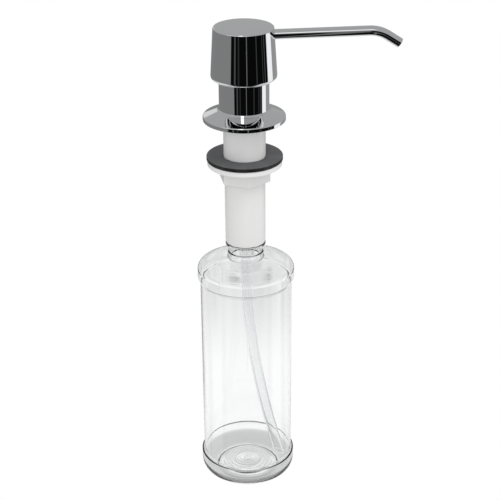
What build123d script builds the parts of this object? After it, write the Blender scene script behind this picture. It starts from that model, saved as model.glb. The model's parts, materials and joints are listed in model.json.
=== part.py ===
from build123d import *

import math
import os

# Deck-mounted soap dispenser, in millimetres.
# The origin is on the centre line at the underside of the flange, where it rests on the counter.
# +Z points up out of the counter and +X along the spout.

# ---- Fits ----
SLIDE = 0.1  # radial clearance of pieces that slide or plug into each other
RUN = 0.05  # radial clearance of the pump's running fits
REST = 0.02  # gap between two pieces that only rest on each other
EDGE = 0.4  # rounding of small edges
SOFT_EDGE = 0.6  # rounding of the larger moulded edges

# ---- Shank: the tube that passes through the counter ----
SHANK_R = 13.5  # outside, where the counter's hole goes round it
SHANK_LENGTH = 84.2  # below the flange
SHANK_WALL = 3.1
SHANK_RELIEF = 0.4  # how much slimmer it is below the clamped stretch
SPIGOT_STEP = 0.7  # how much slimmer it is where it enters the escutcheon
SPIGOT_LENGTH = 9.0
SHOULDER_SEAT = 1.0  # how deep the shank's shoulder sits in the escutcheon
FOOT_WALL = 1.4  # round the socket that takes the bottle's neck
SOCKET_DEPTH = 14.2

# ---- Escutcheon: flange and collar in one piece ----
COLLAR_STEP = 0.5  # how much wider its bore is than the shank
COLLAR_WALL = 1.9
COLLAR_HEIGHT = 32.0
COLLAR_FOOT = 7.8  # where the collar meets the flange
COVE_WIDTH = 1.1  # from the collar out to the top of the flange's slope
FLANGE_WIDTH = 10.4  # beyond the collar
FLANGE_RIM = 2.8
FLANGE_SLOPE = 3.9  # rise of the flange's top from its rim to the cove
LEDGE = 2.0  # inner ledge that the shank's spigot stops against
RIM_ROUND = 0.9  # of the flange's upper edge
COVE_ROUND = 1.2

# ---- Washer and nut under the counter ----
CLAMP_GAP = 24.2  # from the flange to the washer
WASHER_WIDTH = 11.0
WASHER_THICKNESS = 2.6
NUT_WIDTH = 10.5
NUT_FLANGE = 3.6
NUT_HEIGHT = 10.3  # of the hub below the flange
NUT_HUB_CORNER = 3.9  # from the shank's outside to a corner of the hub
NUT_SIDES = 6
NUT_TURNED = 38.0  # degrees from the spout round to a corner of the hub, as tightened
NUT_EDGE = 0.5  # bevel round the hub's lower face
NUT_CLEARANCE = 0.15
WASHER_CLEARANCE = 0.25

# ---- Bottle ----
NECK_FIT = 0.2
NECK_WALL = 1.9
NECK_GAP = 0.4  # between the shank and the neck's support ring
BEAD_WIDTH = 1.7  # of the support ring
BEAD_HEIGHT = 1.8
NECK_BELOW = 4.6  # from the support ring down to the lower ring
LOWER_BEAD = 2.6
LOWER_BEAD_WIDTH = 1.0
THROAT_STEP = 0.5  # how much slimmer the neck is below the support ring
SEAL_THICKNESS = 1.6
BODY_R = 30.5
BAND_OUT = 1.6  # how far the shoulder and base bands stand out
BAND_STEP = 2.0  # height over which the shoulder band runs down into the body
BASE_STEP = 1.4  # height over which the body runs out into the base band
CROWN_IN = 6.7  # from the body's outside in to where the shoulder turns down
CROWN_DROP = 4.0  # from the foot of the neck to that turn
BODY_LENGTH = 131.4  # straight stretch between the two bands
SHOULDER_DROP = 8.6  # from the foot of the neck to the shoulder band
SHOULDER_BAND = 8.6
BASE_BAND = 14.7
BASE_ROUND = 8.5
BOTTLE_WALL = 1.3
FLOOR = 2.0
PUSH_UP = 4.0  # how far the middle of the base is raised
PUSH_WALL = 0.65  # share of that rise taken by the steep wall round it
PUSH_RUN = 4.0  # how far that wall runs inwards
CROWN_ROUND = 16.0
SHOULDER_ROUND = 4.0
BAND_ROUND = 1.8
BASE_STEP_ROUND = 0.7
THROAT_ROUND = 1.2
PUSH_ROUND = 3.0
FOOT_ROUND = 1.5
FOOT_RING_R = 21.5

# ---- Head ----
STROKE = 13.0
STROKE_SPARE = 0.6
CAP_GAP = 3.3  # between the collar and the cap's inside
CAP_WALL = 1.8
CAP_ROOF = 1.2
CAP_HEIGHT = 33.0
CAP_TAPER = 2.0  # how much slimmer the cap is at the top
CAP_LIP = 1.4  # inward thickening of the cap's lower edge
CAP_LIP_HEIGHT = 3.0
CAP_TOP_ROUND = 0.9
CAP_CROWN = 0.3  # rise of the cap's top towards its middle
LIP_ROUND = 0.3  # inner edge of the cap's lower lip
CAP_FOOT_ROUND = 2.4
CORE_R = 8.0
CORE_HEIGHT = 11.6
STEM_SOCKET = 2.8

# ---- Spout ----
SPOUT_R = 3.175
SPOUT_WALL = 0.85
SPOUT_UNDER_ROOF = 1.16  # from the cap's ceiling to the spout, on the centre line
SPOUT_RISE = 1.0  # degrees
SPOUT_BEND = 34.0  # degrees
SPOUT_BEND_R = 20.0
SPOUT_CORNER = 84.0  # where the two straight stretches would meet
SPOUT_TIP = 97.0
SPOUT_INLET = 4.4  # from the centre line to the tube's inner end
TIP_ROUND = 0.25
SPOUT_RING = 0.5  # section radius of the O-ring in the core
SPOUT_RING_AT = 6.2

# ---- Pump ----
PLUG_FLANGE = 1.6
PLUG_LIP = 0.4  # how far the collar's rim stands out beyond the plug
PLUG_DEPTH = 10.0
PLUG_FLOOR = 2.0
PLUG_RING = 0.8  # section radius of the plug's O-ring
BARREL_BORE = 6.0
BARREL_WALL = 1.6
BARREL_RIM = 1.9
BARREL_RIM_HEIGHT = 2.0
STEM_R = 3.5
STEM_BORE = 1.6
STEM_NECK = 0.9  # how much slimmer the stem is inside the piston
WIPER_HEIGHT = 2.0
WIPER_RIM = 0.7  # how far the wiper rests on the barrel's rim
PISTON_HEIGHT = 10.0
PISTON_WAIST = 1.2
RETAINER_HEIGHT = 1.6
RETAINER_RIM = 0.7
SPRING_LENGTH = 28.0
SPRING_WIRE = 0.5
SPRING_TURNS = 8
CAGE_THICKNESS = 1.6
CAGE_HOLE = 1.0
CAGE_HOLES = 4
INLET_BALL = 3.0
OUTLET_BALL = 2.4
BALL_ROOM = 0.6
BALL_LIFT = 1.5
SEAT_ANGLE = 36.0  # degrees between the seat and the centre line
INLET_BORE = 2.2
NOZZLE_TAPER = 4.0  # height over which the barrel narrows to its nozzle
INLET_LAND = 2.8  # from the seat down to the dip tube's end
TUBE_SOCKET = 12.0

# ---- Dip tube ----
TUBE_R = 3.5
TUBE_WALL = 1.0
TUBE_SLANT = 0.35  # slope of the cut across the tube's lower end
TUBE_LEAVES = 120.0  # depth at which the tube leaves the centre line
TUBE_FROM_WALL = 7.2  # from the bottle's wall in to the middle of the tube's lower end
TUBE_ROUTE = [(0.27, 80.0), (0.54, 46.0), (1.0, 4.0)]  # share of its way sideways, height above the floor

# ---- Places that follow from the sizes ----
shank_bore = SHANK_R - SHANK_WALL
spigot_r = SHANK_R - SPIGOT_STEP
relief_r = SHANK_R - SHANK_RELIEF
neck_r = relief_r - FOOT_WALL - NECK_FIT
neck_bore = neck_r - NECK_WALL

collar_bore = SHANK_R + COLLAR_STEP
collar_r = collar_bore + COLLAR_WALL
flange_r = collar_r + FLANGE_WIDTH
ledge_z = SPIGOT_LENGTH + REST

washer_top = -CLAMP_GAP
nut_top = washer_top - WASHER_THICKNESS - REST
hub_top = nut_top - NUT_FLANGE

socket_top = -SHANK_LENGTH + SOCKET_DEPTH
seal_top = socket_top - REST
neck_top = seal_top - SEAL_THICKNESS - REST
bead_top = -SHANK_LENGTH - NECK_GAP
bead_low = bead_top - BEAD_HEIGHT
throat_r = neck_r - THROAT_STEP
lower_top = bead_low - NECK_BELOW
lower_low = lower_top - LOWER_BEAD
band_r = BODY_R + BAND_OUT
band_top = lower_low - SHOULDER_DROP
band_low = band_top - SHOULDER_BAND
body_top = band_low - BAND_STEP
body_low = body_top - BODY_LENGTH
base_band_top = body_low - BASE_STEP
base_z = base_band_top - BASE_BAND

plug_r = collar_bore - SLIDE
plug_top = COLLAR_HEIGHT + PLUG_FLANGE
plug_low = COLLAR_HEIGHT - PLUG_DEPTH
barrel_r = BARREL_BORE + BARREL_WALL
rim_r = barrel_r + BARREL_RIM
barrel_top = plug_low + PLUG_FLOOR + BARREL_RIM_HEIGHT
wiper_r = BARREL_BORE + WIPER_RIM

piston_top = barrel_top - SLIDE
piston_low = piston_top - PISTON_HEIGHT
piston_seat = STEM_R - STEM_NECK
retainer_low = piston_low - RETAINER_HEIGHT
cage_top = retainer_low - SPRING_LENGTH
cage_low = cage_top - CAGE_THICKNESS

seat = math.radians(SEAT_ANGLE)
ball_chamber = INLET_BALL + BALL_ROOM
inlet_ball_z = cage_low - SLIDE - BALL_LIFT - INLET_BALL
seat_low = inlet_ball_z - INLET_BALL / math.sin(seat) + INLET_BORE / math.tan(seat) - REST
seat_high = seat_low + (ball_chamber - INLET_BORE) / math.tan(seat)
tube_top = seat_low - INLET_LAND
barrel_low = tube_top - TUBE_SOCKET
nozzle_r = TUBE_R + BARREL_WALL

core_low = plug_top + STROKE + STROKE_SPARE
core_top = core_low + CORE_HEIGHT
cap_top = core_top + CAP_ROOF
cap_low = cap_top - CAP_HEIGHT
cap_r = collar_r + CAP_GAP + CAP_WALL
stem_top = core_low + STEM_SOCKET
outlet_ball_z = stem_top + math.sqrt(OUTLET_BALL**2 - STEM_BORE**2) + REST
outlet_chamber_top = outlet_ball_z + OUTLET_BALL + BALL_LIFT + SLIDE

spout_bore = SPOUT_R - SPOUT_WALL
spout_axis_z = core_top - SPOUT_UNDER_ROOF - SPOUT_R


def turned(*corners):
    """Solid of revolution. A corner is (radius, height) or (radius, height, rounding)."""
    outline = Polyline(*[(corner[0], 0, corner[1]) for corner in corners], close=True)
    face = make_face(outline).face()
    for corner in corners:
        if len(corner) == 3:
            nearest = face.vertices().sort_by_distance((corner[0], 0, corner[1]))[0]
            face = face.fillet_2d(corner[2], [nearest])
    return revolve(face, Axis.Z)


def ring(outer, inner, low, high, edge=0.0):
    """Plain ring, with its two outer edges rounded."""
    if edge == 0:
        return turned((inner, low), (outer, low), (outer, high), (inner, high))
    return turned((inner, low), (outer, low, edge), (outer, high, edge), (inner, high))


def rod(radius, low, high):
    """Solid cylinder on the centre line."""
    return Pos(0, 0, low) * Cylinder(radius, high - low, align=(Align.CENTER, Align.CENTER, Align.MIN))


def o_ring(inner, section, height):
    """Round-section ring that lies just outside the inner radius."""
    return Pos(0, 0, height) * Torus(inner + section, section)


# ---- Mounting ----


def escutcheon():
    slope_r = collar_r + COVE_WIDTH
    slope_z = FLANGE_RIM + FLANGE_SLOPE
    return turned(
        (SHANK_R + SLIDE, 0),
        (flange_r, 0, EDGE),
        (flange_r, FLANGE_RIM, RIM_ROUND),
        (slope_r, slope_z, COVE_ROUND),
        (collar_r, COLLAR_FOOT, EDGE),
        (collar_r, COLLAR_HEIGHT, EDGE),
        (collar_bore, COLLAR_HEIGHT, EDGE),
        (collar_bore, ledge_z + LEDGE),
        (shank_bore + COLLAR_STEP, ledge_z + LEDGE),
        (shank_bore + COLLAR_STEP, ledge_z),
        (spigot_r + SLIDE, ledge_z),
        (spigot_r + SLIDE, SHOULDER_SEAT),
        (SHANK_R + SLIDE, SHOULDER_SEAT),
    )


def shank():
    return turned(
        (shank_bore, SPIGOT_LENGTH),
        (spigot_r, SPIGOT_LENGTH, EDGE),
        (spigot_r, SHOULDER_SEAT - REST),
        (relief_r, SHOULDER_SEAT - REST),
        (relief_r, 0),
        (SHANK_R, 0),
        (SHANK_R, washer_top),
        (relief_r, washer_top),
        (relief_r, -SHANK_LENGTH, EDGE),
        (neck_r + NECK_FIT, -SHANK_LENGTH),
        (neck_r + NECK_FIT, socket_top),
        (shank_bore, socket_top),
    )


def rubber_washer():
    low = washer_top - WASHER_THICKNESS
    return ring(SHANK_R + WASHER_WIDTH, SHANK_R + WASHER_CLEARANCE, low, washer_top, EDGE)


def mounting_nut():
    corner_r = SHANK_R + NUT_HUB_CORNER
    bore = SHANK_R + NUT_CLEARANCE
    flange = ring(SHANK_R + NUT_WIDTH, bore, hub_top, nut_top, SOFT_EDGE)
    outline = RegularPolygon(corner_r, NUT_SIDES, rotation=NUT_TURNED)
    hub = extrude(Pos(0, 0, hub_top) * outline, -NUT_HEIGHT)
    hub = fillet(hub.edges().filter_by(Axis.Z), NUT_EDGE)
    hub = chamfer(hub.faces().sort_by(Axis.Z)[0].edges(), NUT_EDGE)
    return flange + hub - rod(bore, hub_top - NUT_HEIGHT, nut_top)


# ---- Bottle ----


def neck_seal():
    return ring(neck_r - SLIDE, neck_bore + SLIDE, seal_top - SEAL_THICKNESS, seal_top)


def bottle():
    bead_r = neck_r + BEAD_WIDTH
    lower_r = throat_r + LOWER_BEAD_WIDTH
    crown_r = BODY_R - CROWN_IN
    crown_z = lower_low - CROWN_DROP
    push_z = base_z + PUSH_WALL * PUSH_UP
    outside = turned(
        (0, neck_top),
        (neck_r, neck_top, EDGE),
        (neck_r, bead_top),
        (bead_r, bead_top, SOFT_EDGE),
        (bead_r, bead_low, SOFT_EDGE),
        (throat_r, bead_low - EDGE, EDGE),
        (throat_r, lower_top, EDGE),
        (lower_r, lower_top - SOFT_EDGE, EDGE),
        (lower_r, lower_low, EDGE),
        (throat_r + EDGE, lower_low - BEAD_HEIGHT, THROAT_ROUND),
        (crown_r, crown_z, CROWN_ROUND),
        (band_r, band_top, SHOULDER_ROUND),
        (band_r, band_low, BAND_ROUND),
        (BODY_R, body_top, BAND_ROUND),
        (BODY_R, body_low, BASE_STEP_ROUND),
        (band_r, base_band_top, BASE_STEP_ROUND),
        (band_r, base_z, BASE_ROUND),
        (FOOT_RING_R, base_z, FOOT_ROUND),
        (FOOT_RING_R - PUSH_RUN, push_z, PUSH_ROUND),
        (0, base_z + PUSH_UP),
    )
    inner_r = BODY_R - BOTTLE_WALL
    inner_band = band_r - BOTTLE_WALL
    foot_r = FOOT_RING_R - BOTTLE_WALL
    inside = turned(
        (0, neck_top),
        (neck_bore, neck_top),
        (neck_bore, lower_low - LOWER_BEAD, NECK_WALL),
        (crown_r - BOTTLE_WALL / 2, crown_z - BOTTLE_WALL, CROWN_ROUND),
        (inner_band, band_top - BOTTLE_WALL / 2, SHOULDER_ROUND - BOTTLE_WALL),
        (inner_band, band_low, BAND_ROUND),
        (inner_r, body_top, BAND_ROUND),
        (inner_r, body_low, BASE_STEP_ROUND),
        (inner_band, base_band_top, BASE_STEP_ROUND),
        (inner_band, base_z + FLOOR, BASE_ROUND - BOTTLE_WALL),
        (foot_r, base_z + FLOOR, FOOT_ROUND),
        (foot_r - PUSH_RUN, push_z + FLOOR, PUSH_ROUND),
        (0, base_z + FLOOR + PUSH_UP),
    )
    return outside - inside


# ---- Pump ----


def groove_cut(radius, section, height):
    """Square groove cut into an outside radius, deep enough for an O-ring of that section."""
    depth = 2 * section
    width = section + SLIDE
    return ring(radius + depth, radius - depth, height - width, height + width)


def pump_plug():
    ring_z = (plug_low + COLLAR_HEIGHT) / 2
    body = turned(
        (barrel_r + SLIDE, plug_low),
        (plug_r, plug_low, EDGE),
        (plug_r, COLLAR_HEIGHT + REST),
        (collar_r - PLUG_LIP, COLLAR_HEIGHT + REST),
        (collar_r - PLUG_LIP, plug_top, EDGE),
        (rim_r + SLIDE, plug_top),
        (rim_r + SLIDE, plug_low + PLUG_FLOOR),
        (barrel_r + SLIDE, plug_low + PLUG_FLOOR),
    )
    return body - groove_cut(plug_r, PLUG_RING, ring_z)


def plug_o_ring():
    inner = plug_r - 2 * PLUG_RING + REST
    return o_ring(inner, PLUG_RING, (plug_low + COLLAR_HEIGHT) / 2)


def guide_bush():
    low = barrel_top + REST
    return turned(
        (wiper_r + SLIDE, low),
        (rim_r, low),
        (rim_r, plug_top, EDGE),
        (STEM_R + RUN, plug_top),
        (STEM_R + RUN, low + WIPER_HEIGHT + REST),
        (wiper_r + SLIDE, low + WIPER_HEIGHT + REST),
    )


def stem_wiper():
    low = barrel_top + REST
    return ring(wiper_r, STEM_R + RUN, low, low + WIPER_HEIGHT)


def pump_cylinder():
    shoulder = seat_high - REST
    return turned(
        (BARREL_BORE, barrel_top),
        (rim_r, barrel_top),
        (rim_r, barrel_top - BARREL_RIM_HEIGHT + REST),
        (barrel_r, barrel_top - BARREL_RIM_HEIGHT + REST),
        (barrel_r, shoulder, BARREL_WALL),
        (nozzle_r, shoulder - NOZZLE_TAPER, BARREL_WALL),
        (nozzle_r, barrel_low, EDGE),
        (TUBE_R, barrel_low),
        (TUBE_R, tube_top),
        (INLET_BORE, tube_top),
        (INLET_BORE, seat_low),
        (ball_chamber, seat_high),
        (ball_chamber, cage_low),
        (BARREL_BORE, cage_low),
    )


def ball_cage():
    """Disc above the inlet ball, with holes round its middle for the soap."""
    disc = rod(BARREL_BORE - REST, cage_low + REST, cage_top)
    hole = Cylinder(CAGE_HOLE, 4 * CAGE_THICKNESS)
    places = PolarLocations(ball_chamber - CAGE_HOLE - BALL_ROOM, CAGE_HOLES)
    return disc - [Pos(0, 0, cage_top) * place * hole for place in places]


def ball(radius, height):
    return Pos(0, 0, height) * Sphere(radius)


def return_spring():
    coil_r = (BARREL_BORE + piston_seat) / 2
    height = SPRING_LENGTH - 2 * SPRING_WIRE - 2 * REST
    start = cage_top + SPRING_WIRE + REST
    path = Helix(height / SPRING_TURNS, height, coil_r, center=(0, 0, start))
    section = Plane(path @ 0, z_dir=path % 0) * Circle(SPRING_WIRE)
    return sweep(section, path, is_frenet=True)


def dip_tube():
    """Straight through the neck, then bent sideways in a few gentle turns to the base's corner."""
    places = [(0, tube_top - REST), (0, -TUBE_LEAVES)]
    for share, height in TUBE_ROUTE:
        places.append((share * (BODY_R - TUBE_FROM_WALL), base_z + FLOOR + height))
    radii = []
    for before, here, after in zip(places, places[1:], places[2:]):
        arriving = Vector(here[0] - before[0], 0, here[1] - before[1])
        leaving = Vector(after[0] - here[0], 0, after[1] - here[1])
        half_turn = math.radians(arriving.get_angle(leaving)) / 2
        radii.append(0.45 * min(arriving.length, leaving.length) / math.tan(half_turn))
    path = FilletPolyline(*[(x, 0, z) for x, z in places], radius=radii)
    print("dip tube: length", round(path.length, 1), "bend radii", [round(r) for r in radii])
    section = Plane(path @ 0, z_dir=path % 0) * (Circle(TUBE_R) - Circle(TUBE_R - TUBE_WALL))
    tube = sweep(section, path)
    tip_x, tip_z = places[-1]
    slant = Plane(origin=(tip_x, 0, tip_z + TUBE_R), z_dir=(-TUBE_SLANT, 0, -1))
    return split(tube, slant, keep=Keep.BOTTOM)


def stem():
    return turned(
        (STEM_BORE, retainer_low + REST),
        (piston_seat, retainer_low + REST),
        (piston_seat, piston_top),
        (STEM_R, piston_top),
        (STEM_R, stem_top),
        (STEM_BORE, stem_top),
    )


def piston():
    """Sleeve with a sealing lip at each end."""
    outer = BARREL_BORE - RUN
    waist = outer - PISTON_WAIST
    lip = PISTON_HEIGHT / 5
    return turned(
        (piston_seat, piston_low),
        (outer, piston_low, EDGE),
        (outer, piston_low + lip),
        (waist, piston_low + lip + PISTON_WAIST),
        (waist, piston_top - lip - PISTON_WAIST),
        (outer, piston_top - lip),
        (outer, piston_top - REST, EDGE),
        (piston_seat, piston_top - REST),
    )


def piston_retainer():
    return ring(BARREL_BORE - RETAINER_RIM, piston_seat, retainer_low, piston_low, EDGE)


# ---- Head ----


def spout_line(x):
    """Height of the spout's first straight stretch at a distance from the centre line."""
    return spout_axis_z + x * math.tan(math.radians(SPOUT_RISE))


def along_spout(radius, start, end):
    """Cylinder on the spout's first straight stretch, between two distances."""
    tilt = Plane(
        origin=(start, 0, spout_line(start)),
        z_dir=(end - start, 0, spout_line(end) - spout_line(start)),
    )
    return tilt * Cylinder(radius, end - start, align=(Align.CENTER, Align.CENTER, Align.MIN))


def head_cap():
    top_r = cap_r - CAP_TAPER
    inner_foot = cap_r - CAP_WALL
    shell = turned(
        (inner_foot - CAP_LIP, cap_low, LIP_ROUND),
        (cap_r, cap_low, CAP_FOOT_ROUND),
        (top_r, cap_top, CAP_TOP_ROUND),
        (0, cap_top + CAP_CROWN),
        (0, core_top),
        (top_r - CAP_WALL, core_top),
        (inner_foot, cap_low + CAP_LIP_HEIGHT + CAP_LIP),
        (inner_foot - CAP_LIP, cap_low + CAP_LIP_HEIGHT),
    )
    return shell - along_spout(SPOUT_R + SLIDE, CORE_R, cap_r + CAP_WALL)


def head_core():
    """Boss under the cap's roof: socket for the stem, outlet ball's chamber and way to the spout."""
    chamber_r = OUTLET_BALL + BALL_ROOM
    boss = turned(
        (STEM_R + RUN, core_low),
        (CORE_R, core_low, SOFT_EDGE),
        (CORE_R, core_top),
        (0, core_top),
        (0, outlet_chamber_top),
        (chamber_r, outlet_chamber_top),
        (chamber_r, stem_top + REST),
        (STEM_R + RUN, stem_top + REST),
    )
    boss -= along_spout(spout_bore, 0, SPOUT_INLET)
    boss -= along_spout(SPOUT_R + RUN, SPOUT_INLET, cap_r)
    width = SPOUT_RING + SLIDE
    groove_r = SPOUT_R + 2 * SPOUT_RING + RUN
    boss -= along_spout(groove_r, SPOUT_RING_AT - width, SPOUT_RING_AT + width)
    return boss


def spout_o_ring():
    start = SPOUT_RING_AT
    tilt = Plane(origin=(start, 0, spout_line(start)), z_dir=(1, 0, spout_line(1) - spout_line(0)))
    return tilt * Torus(SPOUT_R + SPOUT_RING + REST, SPOUT_RING)


def spout():
    fall = math.tan(math.radians(SPOUT_BEND - SPOUT_RISE))
    start = SPOUT_INLET + REST
    corner_z = spout_line(SPOUT_CORNER)
    tip_z = corner_z - (SPOUT_TIP - SPOUT_CORNER) * fall
    places = [(start, 0, spout_line(start)), (SPOUT_CORNER, 0, corner_z), (SPOUT_TIP, 0, tip_z)]
    path = FilletPolyline(*places, radius=SPOUT_BEND_R)
    section = Plane(path @ 0, z_dir=path % 0) * (Circle(SPOUT_R) - Circle(spout_bore))
    tube = sweep(section, path)
    tip_face = tube.faces().filter_by(GeomType.PLANE).sort_by(Axis.X)[-1]
    return fillet(tip_face.edges(), TIP_ROUND)


pieces = {
    "escutcheon": escutcheon(),
    "shank": shank(),
    "rubber_washer": rubber_washer(),
    "mounting_nut": mounting_nut(),
    "neck_seal": neck_seal(),
    "bottle": bottle(),
    "pump_plug": pump_plug(),
    "plug_o_ring": plug_o_ring(),
    "guide_bush": guide_bush(),
    "stem_wiper": stem_wiper(),
    "pump_cylinder": pump_cylinder(),
    "ball_cage": ball_cage(),
    "inlet_ball": ball(INLET_BALL, inlet_ball_z),
    "return_spring": return_spring(),
    "dip_tube": dip_tube(),
    "stem": stem(),
    "piston": piston(),
    "piston_retainer": piston_retainer(),
    "outlet_ball": ball(OUTLET_BALL, outlet_ball_z),
    "head_cap": head_cap(),
    "head_core": head_core(),
    "spout_o_ring": spout_o_ring(),
    "spout": spout(),
}

os.makedirs("parts", exist_ok=True)
for name, piece in pieces.items():
    export_step(piece, f"parts/{name}.step")
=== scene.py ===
import json
import math

import bpy
import numpy as np
from bpy.props import FloatProperty, FloatVectorProperty, IntProperty, PointerProperty
from mathutils import Matrix, Vector


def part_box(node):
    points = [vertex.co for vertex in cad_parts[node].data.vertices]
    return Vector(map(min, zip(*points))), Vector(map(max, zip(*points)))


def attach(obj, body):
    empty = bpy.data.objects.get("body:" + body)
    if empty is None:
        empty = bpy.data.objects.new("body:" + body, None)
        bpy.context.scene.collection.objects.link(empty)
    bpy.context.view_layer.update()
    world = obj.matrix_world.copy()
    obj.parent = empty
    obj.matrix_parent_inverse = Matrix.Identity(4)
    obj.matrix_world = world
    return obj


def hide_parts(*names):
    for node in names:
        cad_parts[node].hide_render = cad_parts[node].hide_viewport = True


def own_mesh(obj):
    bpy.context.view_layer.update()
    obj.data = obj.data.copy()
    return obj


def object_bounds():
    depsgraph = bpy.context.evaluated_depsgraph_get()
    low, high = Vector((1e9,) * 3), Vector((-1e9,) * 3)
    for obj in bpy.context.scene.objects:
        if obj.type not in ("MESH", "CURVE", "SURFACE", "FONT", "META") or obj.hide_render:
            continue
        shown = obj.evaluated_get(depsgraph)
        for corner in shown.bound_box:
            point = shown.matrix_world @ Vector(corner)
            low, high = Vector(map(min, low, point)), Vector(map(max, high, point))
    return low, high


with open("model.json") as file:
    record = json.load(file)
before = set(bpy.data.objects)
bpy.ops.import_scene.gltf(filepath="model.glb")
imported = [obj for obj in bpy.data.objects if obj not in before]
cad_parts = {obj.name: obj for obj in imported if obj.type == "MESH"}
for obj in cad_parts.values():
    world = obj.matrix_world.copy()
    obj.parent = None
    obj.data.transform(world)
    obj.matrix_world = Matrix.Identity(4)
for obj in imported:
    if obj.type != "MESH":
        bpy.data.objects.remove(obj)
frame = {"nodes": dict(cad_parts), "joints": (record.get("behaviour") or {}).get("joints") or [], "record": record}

bl_info = {
    "name": "Deck Soap Dispenser",
    "version": (1, 0, 0),
    "blender": (4, 5, 0),
    "location": "View3D > Sidebar > Dispenser",
    "description": "Builds a deck-mounted soap dispenser and its studio round the packed frame",
    "category": "Add Mesh",
}

CAD_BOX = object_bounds()
MM = 0.001
WELD = 1e-7  # places nearer than this become one vertex
WHITE = (1.0, 1.0, 1.0, 1.0)


# ---------------------------------------------------------------- sizes and colours


def length(name, description, default):
    return FloatProperty(
        name=name, description=description, default=default, unit="LENGTH", precision=5
    )


def angle(name, description, degrees):
    return FloatProperty(
        name=name, description=description, default=math.radians(degrees), subtype="ANGLE"
    )


def colour(name, description, default):
    return FloatVectorProperty(
        name=name, description=description, default=default, subtype="COLOR", min=0, max=1
    )


def share(name, description, default):
    return FloatProperty(
        name=name, description=description, default=default, subtype="FACTOR", min=0, max=1
    )


def top_of(node):
    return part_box(node)[1].z


def foot_of(node):
    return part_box(node)[0].z


def half_width(node):
    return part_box(node)[1].y


def way_down(joint_name):
    """How far a sliding joint goes below its place at rest."""
    joint = next(joint for joint in frame["joints"] if joint["name"] == joint_name)
    return -joint["range_m"][0]


class DispenserMesh(bpy.types.PropertyGroup):
    """How finely the pieces are divided."""

    columns: IntProperty(
        name="Columns", description="Divisions round a turned piece", default=192, min=24
    )
    arc_steps: IntProperty(
        name="Arc steps", description="Divisions of each rounded corner", default=8, min=2
    )


class DispenserHead(bpy.types.PropertyGroup):
    """Press cap and spout."""

    top: length("Top", "Height of the cap's upper edge", top_of("head_cap") - 0.3 * MM)
    crown: length("Crown", "Rise of the cap's top at its middle", 0.3 * MM)
    height: length("Height", "Height of the cap", 33.0 * MM)
    foot_radius: length("Foot radius", "Cap's radius at its lower edge", 21.0 * MM)
    top_radius: length("Top radius", "Cap's radius at its upper edge", 19.0 * MM)
    wall: length("Wall", "Thickness of the cap's side", 1.8 * MM)
    roof: length("Roof", "Thickness of the cap's top", 1.2 * MM)
    lip: length("Lip", "How far the lower lip stands inwards", 1.4 * MM)
    lip_height: length("Lip height", "Height of the lower lip", 3.0 * MM)
    foot_round: length("Foot round", "Rounding of the cap's lower edge", 2.4 * MM)
    edge_round: length("Edge round", "Rounding of the cap's upper edge", 0.9 * MM)
    spout_radius: length("Spout radius", "Outside radius of the spout", half_width("spout"))
    spout_wall: length("Spout wall", "Wall thickness of the spout", 0.85 * MM)
    spout_start: length("Spout start", "Distance of the spout's inner end", 4.42 * MM)
    spout_axis: length("Spout axis", "Height of the spout's line above the origin", 54.465 * MM)
    spout_corner: length("Spout corner", "Distance of the spout's bend", 84.0 * MM)
    spout_tip: length("Spout tip", "Distance of the spout's outer end", 97.0 * MM)
    spout_rise: angle("Spout rise", "Slope of the spout before its bend", 1.0)
    spout_bend: angle("Spout bend", "How far the spout turns down", 34.0)
    spout_bend_radius: length("Bend radius", "Radius of the spout's bend", 20.0 * MM)
    spout_fit: length("Spout fit", "Gap round the spout in the cap", 0.1 * MM)
    hole_turn: angle("Hole turn", "Half the width of the grid's opening for the spout", 17.0)


class DispenserMount(bpy.types.PropertyGroup):
    """Escutcheon, shank, washer and nut."""

    shank_radius: length("Shank radius", "Outside radius where the counter grips", 13.5 * MM)
    shank_foot: length("Shank foot", "Height of the shank's lower end", foot_of("shank"))
    shank_top: length("Shank top", "Height of the shank's upper end", top_of("shank"))
    shank_bore: length("Shank bore", "Inside radius of the shank", 10.4 * MM)
    socket_bore: length("Socket bore", "Radius of the socket for the neck", 11.7 * MM)
    socket_depth: length("Socket depth", "Depth of the socket for the neck", 14.2 * MM)
    relief: length("Relief", "How much slimmer the shank is below the counter", 0.4 * MM)
    seat: length("Seat", "Depth of the shoulder's seat in the flange", 1.0 * MM)
    collar_radius: length("Collar radius", "Outside radius of the collar", 15.9 * MM)
    collar_bore: length("Collar bore", "Inside radius of the collar", 14.0 * MM)
    collar_top: length("Collar top", "Height of the collar", top_of("escutcheon"))
    flange_radius: length("Flange radius", "Radius of the flange", half_width("escutcheon"))
    flange_rim: length("Flange rim", "Height of the flange's rim", 2.8 * MM)
    flange_slope: length("Flange slope", "Rise of the flange's top", 3.9 * MM)
    washer_radius: length("Washer radius", "Outside radius of the washer", 24.5 * MM)
    washer_bore: length("Washer bore", "Inside radius of the washer", 13.75 * MM)
    nut_radius: length("Nut radius", "Radius of the nut's flange", 24.0 * MM)
    nut_bore: length("Nut bore", "Inside radius of the nut", 13.65 * MM)
    nut_flange: length("Nut flange", "Thickness of the nut's flange", 3.6 * MM)
    nut_corner: length("Nut corner", "Radius to a corner of the nut's hub", 17.4 * MM)
    nut_turned: angle("Nut turned", "Turn from the spout to a corner of the hub", 38.0)


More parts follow.
